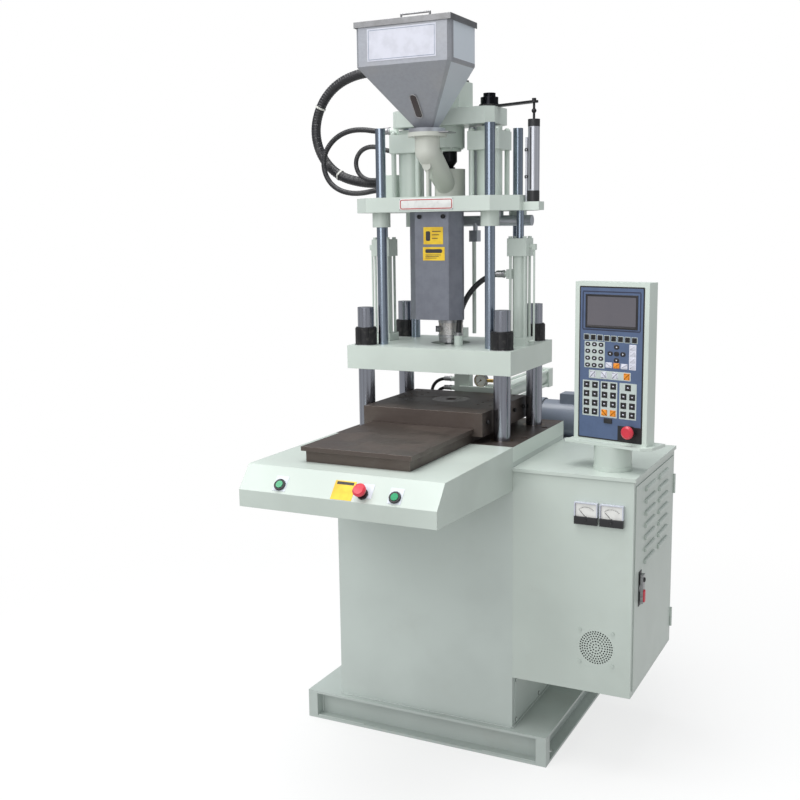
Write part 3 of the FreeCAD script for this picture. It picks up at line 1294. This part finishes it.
def fan_frame():
    """Square fan frame behind the perforations, with its motor hub on four spokes, and four screws."""
    y0 = BODY_FRONT + CABINET_SHEET
    half = FAN_SIZE / 2
    y1 = y0 + FAN_DEPTH
    frame = block(GRILLE_X - half, GRILLE_X + half, y0, y1, GRILLE_Z - half, GRILLE_Z + half)
    frame = frame.cut(rod(GRILLE_R, (GRILLE_X, y0, GRILLE_Z), FAN_DEPTH, BACK))
    hub = rod(17, (GRILLE_X, y1 - 4, GRILLE_Z), 4, BACK)
    spokes = [
        block(GRILLE_X - GRILLE_R - 1, GRILLE_X + GRILLE_R + 1, y1 - 3, y1, GRILLE_Z - 2, GRILLE_Z + 2),
        block(GRILLE_X - 2, GRILLE_X + 2, y1 - 3, y1, GRILLE_Z - GRILLE_R - 1, GRILLE_Z + GRILLE_R + 1),
    ]
    shaft = rod(3, (GRILLE_X, y0 + 8, GRILLE_Z), FAN_DEPTH - 10, BACK)
    holes = [
        rod(2.1, (GRILLE_X + a * GRILLE_SCREW, y0, GRILLE_Z + b * GRILLE_SCREW), FAN_DEPTH, BACK)
        for a in (-1, 1)
        for b in (-1, 1)
    ]
    frame = without(joined(frame, hub, shaft, *spokes), *holes)
    screws = []
    for a in (-1, 1):
        for b in (-1, 1):
            x, z = GRILLE_X + a * GRILLE_SCREW, GRILLE_Z + b * GRILLE_SCREW
            head = rod(5, (x, BODY_FRONT - 2.5, z), 2.5, BACK)
            screws.append(joined(head, rod(2, (x, BODY_FRONT, z), 20, BACK)))
    return [frame, *screws]


FAN_BLADES = 7


def fan_rotor():
    """Seven-bladed rotor on the fan's shaft."""
    y0 = BODY_FRONT + CABINET_SHEET + 6
    hub = rod(18, (GRILLE_X, y0, GRILLE_Z), 14, BACK)
    blade = block(-7, 7, 0, 2, 15, GRILLE_R - 3)
    blade.rotate(V(0, 1, 30), V(0, 0, 1), 35)
    blades = []
    for i in range(FAN_BLADES):
        copy = blade.copy()
        copy.rotate(V(0, 0, 0), V(0, 1, 0), 360 * i / FAN_BLADES)
        copy.translate(V(GRILLE_X, y0 + 7, GRILLE_Z))
        blades.append(copy)
    return joined(hub, *blades).cut(rod(3 + RUNNING_FIT, (GRILLE_X, y0, GRILLE_Z), 14, BACK))


def panel_collar():
    """Stepped collar on the cabinet's lid, with the spigot on which the panel swivels."""
    base = rod(COLLAR_R, (SWIVEL_X, SWIVEL_Y, CABINET_TOP), 12)
    drum = rod(COLLAR_R - 1.5, (SWIVEL_X, SWIVEL_Y, CABINET_TOP + 12), TRAY_BOTTOM - CABINET_TOP - 12.3)
    spigot = rod(SPIGOT_R, (SWIVEL_X, SWIVEL_Y, TRAY_BOTTOM - 1), 5)
    bore = rod(18, (SWIVEL_X, SWIVEL_Y, CABINET_TOP), TRAY_BOTTOM - CABINET_TOP + 6)
    return joined(base, drum, spigot).cut(bore)


SPIGOT_R = 25


def turned(shape):
    """Turns a panel piece, drawn square to the machine, to the angle at which it stands."""
    copy = shape.copy()
    copy.rotate(V(0, 0, 0), UP, PANEL_TURN)
    copy.translate(V(SWIVEL_X, SWIVEL_Y, 0))
    return copy


PANEL_SHEET = 2
SCREEN = (-94, 76, 1310, 1378)
STOP_LOCAL = (68, 993)
KEY_PLATE = (-100, 100, 960, 1386)


def control_panel():
    """Sheet panel box with its tray, standing on the swivel spigot."""
    h, d, s = PANEL_WIDTH / 2, PANEL_DEPTH / 2, PANEL_SHEET
    bottom = TRAY_BOTTOM + TRAY_THICKNESS
    box = block(-h, h, -d, d, bottom, bottom + PANEL_HEIGHT)
    box = box.cut(block(-h + s, h - s, -d + s, d - s, bottom + s, bottom + PANEL_HEIGHT - s))
    tray = prism([(-128, -46, TRAY_BOTTOM), (108, -46, TRAY_BOTTOM), (132, -22, TRAY_BOTTOM),
                  (132, 52, TRAY_BOTTOM), (-128, 52, TRAY_BOTTOM)], (0, 0, TRAY_THICKNESS))
    tray = tray.cut(rod(SPIGOT_R + RUNNING_FIT, (0, 0, TRAY_BOTTOM), 6))
    sx, sz = STOP_LOCAL
    hole = rod(BEZEL_R - 4, (sx, -d - 5, sz), 12, BACK)
    switch = rod(BEZEL_R - 4.2, (sx, -d, sz), 30, BACK)
    collar = rod(BEZEL_R, (sx, -d - 6, sz), 6, BACK)
    bore = rod(STOP_STEM_R + SLIDING_GAP, (sx, -d - 6, sz), 16, BACK)
    body = joined(box.cut(hole), tray)
    return [turned(body), turned(joined(switch, collar).cut(bore))]


def keypad():
    """Membrane keypad and display frame: a thin plate with a recessed screen and raised keys."""
    d = PANEL_DEPTH / 2
    x0, x1, z0, z1 = KEY_PLATE
    plate = block(x0, x1, -d - 2, -d, z0, z1)
    a0, a1, b0, b1 = SCREEN
    plate = plate.cut(block(a0 + 8, a1 - 8, -d - 2, -d - 1, b0 + 6, b1 - 6))
    sx, sz = STOP_LOCAL
    plate = plate.cut(rod(BEZEL_R + 1, (sx, -d - 2, sz), 2, BACK))
    keys = []
    for col in range(3):
        for half_x in (0, 1):
            for row in range(4):
                x = -92 + col * 62 + half_x * 28
                z = 1010 + row * 28
                keys.append(block(x, x + 20, -d - 3, -d - 2, z, z + 18))
    for i in range(8):
        x = -92 + i * 22.5
        keys.append(block(x, x + 15, -d - 3, -d - 2, 1268, 1282))
    return turned(joined(plate, *keys))


def panel_stop():
    d = PANEL_DEPTH / 2
    sx, sz = STOP_LOCAL
    start = (sx, -d + 10 - STOP_TRAVEL - 0.5, sz)
    return turned(stop_button(start, V(0, -1, 0)))


# ---------------------------------------------------------------- hydraulics

def oil_tank():
    """Oil tank behind the body, with a bolted lid plate, filler cap and hose port."""
    tank = block(-BODY_HALF_WIDTH, TANK_RIGHT, TANK_FRONT, TANK_BACK, BASE_HEIGHT, TANK_TOP - 6)
    hollow = block(-BODY_HALF_WIDTH + 4, TANK_RIGHT - 4, TANK_FRONT + 4, TANK_BACK - 4,
                   BASE_HEIGHT + 4, TANK_TOP - 6)
    lid = block(-BODY_HALF_WIDTH - 6, TANK_RIGHT + 4, TANK_FRONT - 4, TANK_BACK + 6, TANK_TOP - 6, TANK_TOP)
    filler = rod(28, (-200, 520, TANK_TOP), 30)
    ports = [rod(14, (x, y, TANK_TOP), z - TANK_TOP) for x, y, z in (SUPPLY_HOSES[0][0], SUPPLY_HOSES[1][0])]
    return joined(tank.cut(hollow), lid, filler, *ports)


def pump_motor():
    """Electric motor with its domed cowl on the left, and the pump flanged to its right end."""
    x0, y, z, r = MOTOR_LEFT, MOTOR_Y, MOTOR_CENTRE, MOTOR_R
    frame = rod(r, (x0 + 45, y, z), MOTOR_LENGTH - 45, RIGHT)
    cowl = rod(r, (x0 + 22, y, z), 23, RIGHT)
    dome = cone(r - 20, r, (x0, y, z), 22, RIGHT)
    feet = block(x0 + 60, x0 + 150, y - 60, y + 60, TANK_TOP, z - r + 14)
    adaptor = rod(45, (x0 + MOTOR_LENGTH, y, z), 12, RIGHT)
    pump = centred(36, 76, x0 + MOTOR_LENGTH + 30, y, z - 40, z + 40)
    box = block(x0 + 80, x0 + 140, y - 30, y + 30, z + r - 8, z + r + 26)
    return joined(frame, cowl, dome, feet, adaptor, pump, box)


GAUGE_R = 22
GAUGE_AT = (8, 226, 1052)
GAUGE_DEPTH = 18


def pressure_gauge():
    """Glycerine gauge on a brass fitting screwed into the table cylinder's front head."""
    x, y, z = GAUGE_AT
    case = rod(GAUGE_R, (x, y - GAUGE_DEPTH / 2, z), GAUGE_DEPTH, BACK)
    well = rod(GAUGE_R - 2.5, (x, y - GAUGE_DEPTH / 2, z), 5, BACK)
    pivot = rod(1.2, (x, y - GAUGE_DEPTH / 2 + 1.5, z), 5, BACK)
    stem = rod(6, (x + GAUGE_R - 2, y, z), SLIDE_ROD_X - x - GAUGE_R + 8, RIGHT)
    drop = rod(7, (SLIDE_ROD_X, y, SLIDE_ROD_Z + SLIDE_HEAD / 2), z + 7 - SLIDE_ROD_Z - SLIDE_HEAD / 2)
    return joined(case.cut(well), pivot, stem, drop)


def gauge_needle():
    x, y, z = GAUGE_AT
    y0 = y - GAUGE_DEPTH / 2 + 2
    hub = ring(2.8, 1.2 + RUNNING_FIT, (x, y0, z), 1.4, BACK)
    bar = block(x - 0.6, x + 0.6, y0, y0 + 0.8, z + 2.2, z + 15)
    bar.rotate(V(x, y0, z), V(0, 1, 0), -NEEDLE_REST * 3)
    return joined(hub, bar)


# ---------------------------------------------------------------- hoses

def hose(points, radius):
    """A tube of straight runs joined by tangent arcs; returns the solid and its bend radii."""
    path = [V(*p) for p in points]
    edges, radii = [], []
    last = path[0]
    for i in range(1, len(path) - 1):
        before, here, after = path[i - 1], path[i], path[i + 1]
        u = (here - before).normalize()
        w = (after - here).normalize()
        turn = u.getAngle(w)
        run = min((here - before).Length, (after - here).Length)
        trim = 0.45 * run
        bend = trim / math.tan(turn / 2)
        radii.append(bend)
        start, end = here - u * trim, here + w * trim
        middle_dir = (w - u).normalize()
        centre = here + middle_dir * (bend / math.cos(turn / 2))
        middle = centre - middle_dir * bend
        edges.append(Part.makeLine(last, start))
        edges.append(Part.Arc(start, middle, end).toShape())
        last = end
    edges.append(Part.makeLine(last, path[-1]))
    spine = Part.Wire(edges)
    first = (path[1] - path[0]).normalize()
    section = Part.Wire([Part.makeCircle(radius, path[0], first)])
    tube = spine.makePipeShell([section], True, False)
    expected = math.pi * radius ** 2 * spine.Length
    return tube, radii, tube.Volume / expected, spine.Length


HOSE_REPORT = []


def hoses(name, *routes):
    """Each hose of a node, with its radii and volume noted for printing."""
    solids = []
    for points, radius in routes:
        tube, radii, ratio, length = hose(points, radius)
        HOSE_REPORT.append((name, length, min(radii) / (2 * radius), ratio))
        solids.append(tube)
    return solids


# Routes are chosen by hand, from one fitting to the other.
MOTOR_HOSE_R = 15
MOTOR_HOSE_POINTS = [
    (-222, 60, 1690), (-284, 60, 1690), (-352, 61, 1698), (-412, 62, 1716), (-460, 63, 1752),
    (-493, 64, 1803), (-505, 64, 1862), (-492, 64, 1921), (-460, 64, 1972), (-412, 62, 2008),
    (-352, 60, 2028), (-288, 57, 2034), (-216, 51, 2029), (-144, 46, 2014), (-72, 46, 2014)]
THIN_HOSE_R = 8
THIN_HOSE_POINTS = [
    (-208, 20, 1846), (-250, 20, 1846), (-298, 20, 1855), (-346, 20, 1856), (-390, 19, 1843),
    (-426, 18, 1816), (-448, 18, 1779), (-450, 19, 1737), (-432, 20, 1698), (-398, 20, 1672),
    (-354, 20, 1660), (-308, 20, 1660), (-264, 20, 1668), (-222, 20, 1668)]
LOOP_HOSE_R = 7
LOOP_HOSE_POINTS = [
    (-222, 22, 1700), (-246, 22, 1700), (-272, 22, 1698), (-298, 22, 1702), (-321, 23, 1716),
    (-334, 24, 1739), (-335, 25, 1765), (-322, 26, 1788), (-299, 27, 1801), (-272, 27, 1803),
    (-246, 27, 1796), (-224, 26, 1788), (-204, 26, 1786), (-186, 26, 1786)]
SUPPLY_HOSES = (
    [(-166, 300, 830), (-166, 300, 862), (-169, 292, 896), (-175, 276, 928), (-180, 258, 960),
     (-180, 242, 992), (-171, 231, 1021), (-152, 226, 1042), (-126, 226, 1052), (-98, 226, 1052)],
    [(-140, 300, 830), (-140, 300, 858), (-143, 291, 886), (-150, 275, 912), (-157, 257, 938),
     (-161, 241, 964), (-158, 230, 991), (-145, 226, 1012), (-123, 226, 1022), (-98, 226, 1022)],
)
SUPPLY_HOSE_R = 5.5
SEAT_HOSE_POINTS = [
    SEAT_HOSE_START, (154, 0, SEAT_HOSE_PORT_Z), (127, -5, 1404), (101, -20, 1385),
    (79, -43, 1354), (63, -62, 1312), (56, -70, 1264), SEAT_HOSE_END]
CABLE_R = 3.5
GLAND_R = 6
GLAND_LENGTH = 12
CABLE_END_Z = PLATEN_TOP + 38
HEATER_CABLES = (
    [(-18, 118, PLATE_BOTTOM - GLAND_LENGTH), (-18, 118, 1538), (-22, 132, 1488), (-32, 150, 1432),
     (-38, 162, 1374), (-38, 165, 1320), (-34, 160, 1276), (-34, 160, CABLE_END_Z)],
    [(-32, 110, PLATE_BOTTOM - GLAND_LENGTH), (-32, 110, 1530), (-39, 127, 1478), (-48, 147, 1420),
     (-52, 158, 1362), (-51, 160, 1312), (-48, 158, 1274), (-48, 158, CABLE_END_Z)],
)


def build():
    os.makedirs("parts", exist_ok=True)
    save("base_frame", base_frame())
    save("machine_body", machine_body())
    save("body_covers", *body_covers())
    save("bed_plate", *bed_plate())
    save("bar_bushes", *bar_bushes())
    save("console_cover", console_cover())
    save("button_bezels", *button_bezels())
    save("start_button_left", start_button(-BUTTON_X))
    save("start_button_right", start_button(BUTTON_X))
    save("console_stop", console_stop())
    save("rail_plate", rail_plate())
    save("slide_table", *slide_table())
    save("slide_rod", slide_rod())
    save("slide_cylinder", *slide_cylinder())
    save("clamp_cylinder", clamp_cylinder())
    save("lower_crosshead", lower_crosshead())
    save("tie_bars", *tie_bars())
    save("tie_bar_nuts", *tie_bar_nuts())
    save("platen", platen(), cable_block())
    save("guide_rods", *guide_rods())
    save("seat_cylinders", *seat_cylinders())
    save("injection_plate", injection_plate())
    save("guide_bushes", *guide_bushes())
    save("seat_rods", *seat_rods())
    save("barrel", *barrel())
    save("heater_bands", *heater_bands())
    save("barrel_guard", barrel_guard())
    save("feed_throat", feed_throat())
    save("slide_gate", slide_gate())
    save("hopper", hopper())
    save("hopper_lid", hopper_lid())
    save("injection_cylinders", *injection_cylinders())
    save("crosshead_beam", crosshead_beam())
    save("injection_rods", *injection_rods())
    save("screw", screw())
    save("screw_motor", screw_motor())
    save("transducer_arm", transducer_arm())
    save("transducer", transducer())
    save("carriage_fittings", *carriage_fittings())
    save("cabinet_shell", cabinet_shell())
    save("cabinet_door", cabinet_door())
    save("door_latch", door_latch())
    save("panel_meters", *panel_meters())
    save("meter_needle_left", meter_needle(METER_XS[0]))
    save("meter_needle_right", meter_needle(METER_XS[1]))
    save("fan_frame", *fan_frame())
    save("fan_rotor", fan_rotor())
    save("panel_collar", panel_collar())
    save("control_panel", *control_panel())
    save("keypad", keypad())
    save("panel_stop", panel_stop())
    save("oil_tank", oil_tank())
    save("pump_motor", pump_motor())
    save("pressure_gauge", pressure_gauge())
    save("gauge_needle", gauge_needle())
    save("motor_hose", *hoses("motor_hose", (MOTOR_HOSE_POINTS, MOTOR_HOSE_R)))
    save("cylinder_hoses", *hoses("cylinder_hoses", (THIN_HOSE_POINTS, THIN_HOSE_R),
                                  (LOOP_HOSE_POINTS, LOOP_HOSE_R)))
    save("supply_hoses", *hoses("supply_hoses", *[(p, SUPPLY_HOSE_R) for p in SUPPLY_HOSES]))
    save("seat_hose", *hoses("seat_hose", (SEAT_HOSE_POINTS, SEAT_HOSE_R)))
    save("heater_cables", *hoses("heater_cables", *[(p, CABLE_R) for p in HEATER_CABLES]))
    for name, length, bend, ratio in HOSE_REPORT:
        print(f"{name}: length {length:.0f} mm, tightest bend {bend:.1f} diameters, volume ratio {ratio:.4f}")


build()
